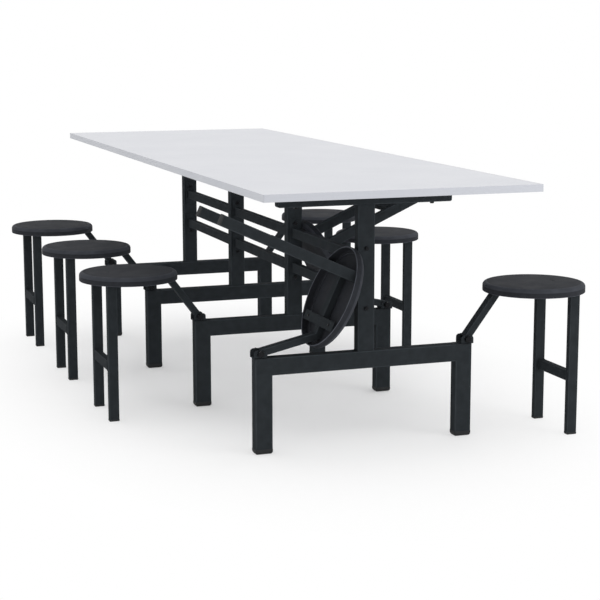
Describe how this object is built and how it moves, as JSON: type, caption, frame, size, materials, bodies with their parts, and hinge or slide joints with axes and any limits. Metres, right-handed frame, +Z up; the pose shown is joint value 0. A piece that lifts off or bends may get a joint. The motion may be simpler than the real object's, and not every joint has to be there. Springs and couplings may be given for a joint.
{
  "type": "canteen table with attached stools",
  "caption": "Long canteen table on a row of welded frames with round stools hinged to their legs, each folding in under the board.",
  "frame": {"origin": "on the floor under the middle of the board", "axes": "+X across the table to its right-hand stools, +Y along the table, +Z up"},
  "size_m": [1.3578, 2.4, 0.754],
  "materials": {
    "board": "pale grey laminate, satin",
    "edge_band": "grey edge band, satin",
    "steel": "black powder coat, satin",
    "seat_plastic": "charcoal moulded plastic, matte",
    "foot_plastic": "black plastic, matte",
    "fasteners": "blackened steel, satin"
  },
  "bodies": {
    "table": {"tabletop": "board", "tabletop_edge": "edge_band", "tabletop_screws": "fasteners", "leg_1l": "steel", "leg_1r": "steel", "leg_2l": "steel", "leg_2r": "steel", "leg_3l": "steel", "leg_3r": "steel", "leg_4l": "steel", "leg_4r": "steel", "beam_1": "steel", "beam_2": "steel", "beam_3": "steel", "beam_4": "steel", "mast_1": "steel", "mast_2": "steel", "mast_3": "steel", "mast_4": "steel", "rail_upper_12": "steel", "rail_lower_12": "steel", "rail_upper_23": "steel", "rail_lower_23": "steel", "rail_upper_34": "steel", "rail_lower_34": "steel", "rail_bolts": "fasteners", "leg_foot_caps": "foot_plastic", "hinge_bolts": "fasteners"},
    "stool_1l": {"stool_1l_frame": "steel", "stool_1l_seat": "seat_plastic", "stool_1l_screws": "fasteners", "stool_1l_foot_caps": "foot_plastic"},
    "stool_1r": {"stool_1r_frame": "steel", "stool_1r_seat": "seat_plastic", "stool_1r_screws": "fasteners", "stool_1r_foot_caps": "foot_plastic"},
    "stool_2l": {"stool_2l_frame": "steel", "stool_2l_seat": "seat_plastic", "stool_2l_screws": "fasteners", "stool_2l_foot_caps": "foot_plastic"},
    "stool_2r": {"stool_2r_frame": "steel", "stool_2r_seat": "seat_plastic", "stool_2r_screws": "fasteners", "stool_2r_foot_caps": "foot_plastic"},
    "stool_3l": {"stool_3l_frame": "steel", "stool_3l_seat": "seat_plastic", "stool_3l_screws": "fasteners", "stool_3l_foot_caps": "foot_plastic"},
    "stool_3r": {"stool_3r_frame": "steel", "stool_3r_seat": "seat_plastic", "stool_3r_screws": "fasteners", "stool_3r_foot_caps": "foot_plastic"},
    "stool_4l": {"stool_4l_frame": "steel", "stool_4l_seat": "seat_plastic", "stool_4l_screws": "fasteners", "stool_4l_foot_caps": "foot_plastic"},
    "stool_4r": {"stool_4r_frame": "steel", "stool_4r_seat": "seat_plastic", "stool_4r_screws": "fasteners", "stool_4r_foot_caps": "foot_plastic"}
  },
  "joints": [
    {"name": "fold_1l", "type": "hinge", "parent": "table", "child": "stool_1l", "pos_m": [-0.312, -0.9, 0.2855], "axis": [0, 1, 0], "range_deg": [-114.4, 0]},
    {"name": "fold_1r", "type": "hinge", "parent": "table", "child": "stool_1r", "pos_m": [0.312, -0.9, 0.2855], "axis": [0, -1, 0], "range_deg": [0, 114.4]},
    {"name": "fold_2l", "type": "hinge", "parent": "table", "child": "stool_2l", "pos_m": [-0.312, -0.3, 0.2855], "axis": [0, 1, 0], "range_deg": [0, 114.4]},
    {"name": "fold_2r", "type": "hinge", "parent": "table", "child": "stool_2r", "pos_m": [0.312, -0.3, 0.2855], "axis": [0, -1, 0], "range_deg": [-114.4, 0]},
    {"name": "fold_3l", "type": "hinge", "parent": "table", "child": "stool_3l", "pos_m": [-0.312, 0.3, 0.2855], "axis": [0, 1, 0], "range_deg": [0, 114.4]},
    {"name": "fold_3r", "type": "hinge", "parent": "table", "child": "stool_3r", "pos_m": [0.312, 0.3, 0.2855], "axis": [0, -1, 0], "range_deg": [0, 114.4]},
    {"name": "fold_4l", "type": "hinge", "parent": "table", "child": "stool_4l", "pos_m": [-0.312, 0.9, 0.2855], "axis": [0, 1, 0], "range_deg": [0, 114.4]},
    {"name": "fold_4r", "type": "hinge", "parent": "table", "child": "stool_4r", "pos_m": [0.312, 0.9, 0.2855], "axis": [0, -1, 0], "range_deg": [0, 114.4]}
  ]
}
